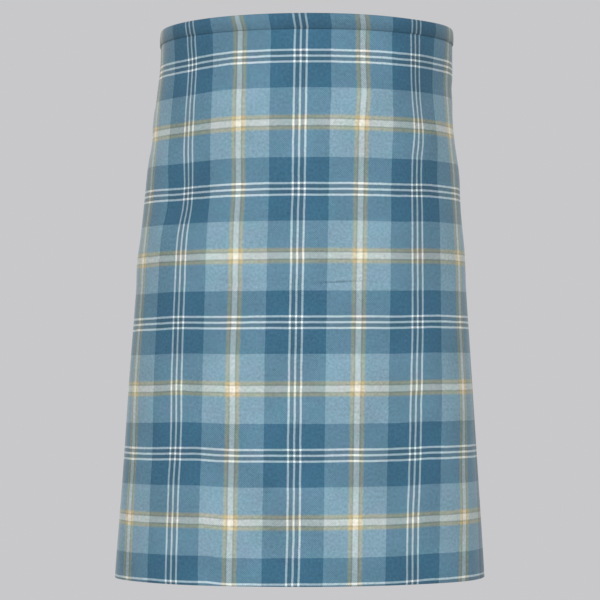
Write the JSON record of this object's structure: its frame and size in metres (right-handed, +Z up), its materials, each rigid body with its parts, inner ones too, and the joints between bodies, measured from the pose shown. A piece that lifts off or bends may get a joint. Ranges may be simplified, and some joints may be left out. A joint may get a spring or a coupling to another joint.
{
  "type": "scottish kilt",
  "caption": "Knee-length tartan kilt, worn shape: flat front aprons, knife-pleated back, waistband and side buckle straps, open at waist and hem.",
  "frame": {"origin": "middle of the waist opening, level with the top edge, where the wearer's waist holds the kilt", "axes": "+Z up along the wearer, -Y towards the front, +X towards the wearer's left"},
  "size_m": [0.4135, 0.2827, 0.611],
  "materials": {
    "tartan": "woven twill, matte",
    "band_cloth": "woven twill, matte",
    "strap_leather": "satin",
    "buckle_steel": "polished"
  },
  "bodies": {
    "root": {"over_apron": "tartan", "under_apron": "tartan", "pleats_left": "tartan", "pleats_right": "tartan", "waistband_over": "band_cloth", "waistband_under": "band_cloth", "waistband_back": "band_cloth", "strap_right": "strap_leather", "tab_right": "strap_leather", "buckle_right": "buckle_steel", "prong_right": "buckle_steel", "strap_left": "strap_leather", "tab_left": "strap_leather", "buckle_left": "buckle_steel", "prong_left": "buckle_steel"}
  },
  "joints": []
}
